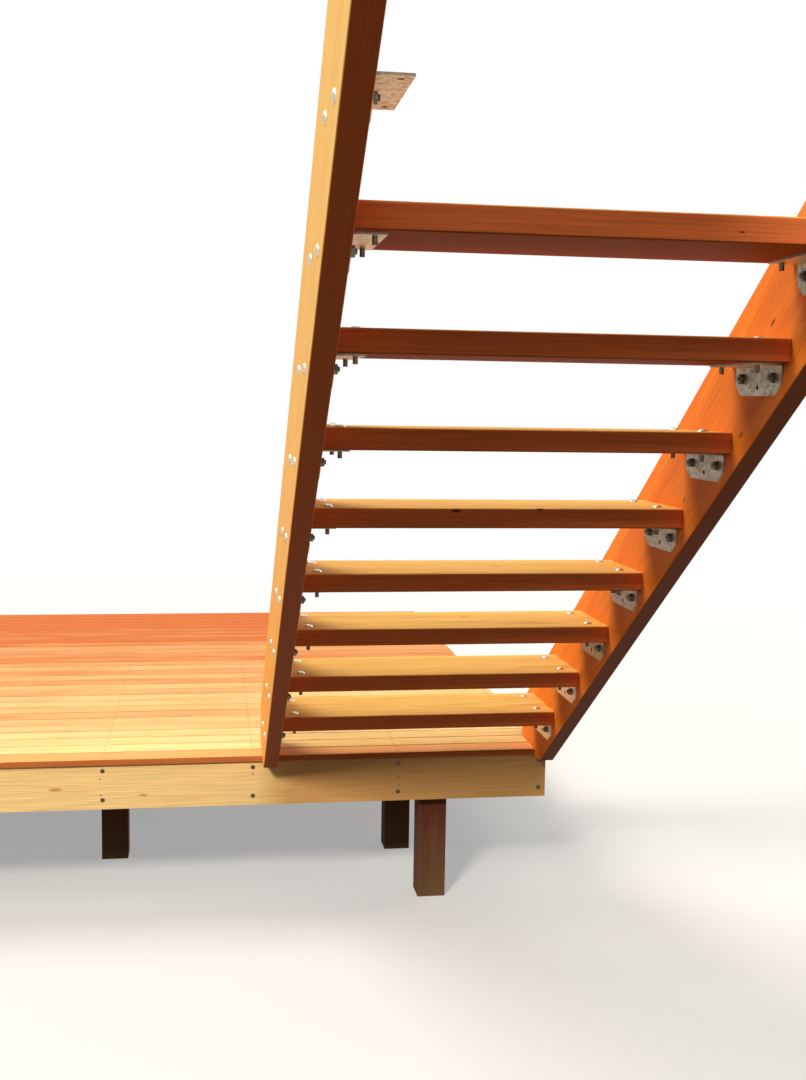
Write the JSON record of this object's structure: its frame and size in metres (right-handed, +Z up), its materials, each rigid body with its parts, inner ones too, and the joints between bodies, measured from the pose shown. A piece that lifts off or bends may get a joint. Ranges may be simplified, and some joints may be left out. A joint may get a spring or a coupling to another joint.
{
  "type": "open-riser timber stair on a raised timber deck",
  "caption": "Unfinished open-riser timber stair on galvanised folded brackets, standing on the front edge of a raised timber deck, for a house wall.",
  "frame": {"origin": "on the wall side of the right stringer, where the wall's plane, the deck's front edge and the top of the deck boards meet", "axes": "+X to the right, out of the wall side of the right stringer; +Y back along the deck to the house; +Z up. The stair climbs towards -Y"},
  "size_m": [2.881, 6.156, 3.032],
  "materials": {
    "stained_timber": "oiled, satin",
    "oiled_decking": "oiled, satin",
    "framing_pine": "bare sawn",
    "rough_post": "rough sawn",
    "galvanised_steel": "hot-dip galvanised, dull"
  },
  "bodies": {
    "root": {"stringer_left": "stained_timber", "stringer_right": "stained_timber", "tread_1": "stained_timber", "tread_2": "stained_timber", "tread_3": "stained_timber", "tread_4": "stained_timber", "tread_5": "stained_timber", "tread_6": "stained_timber", "tread_7": "stained_timber", "tread_8": "stained_timber", "brackets_1": "galvanised_steel", "brackets_2": "galvanised_steel", "brackets_3": "galvanised_steel", "brackets_4": "galvanised_steel", "brackets_5": "galvanised_steel", "brackets_6": "galvanised_steel", "brackets_7": "galvanised_steel", "brackets_8": "galvanised_steel", "brackets_9": "galvanised_steel", "brackets_10": "galvanised_steel", "brackets_11": "galvanised_steel", "brackets_12": "galvanised_steel", "brackets_13": "galvanised_steel", "deck_boards": "oiled_decking", "rim_joist": "framing_pine", "joists": "framing_pine", "ledger": "framing_pine", "bearer_front": "framing_pine", "bearer_back": "framing_pine", "post_front": "rough_post", "posts": "rough_post"}
  },
  "joints": []
}
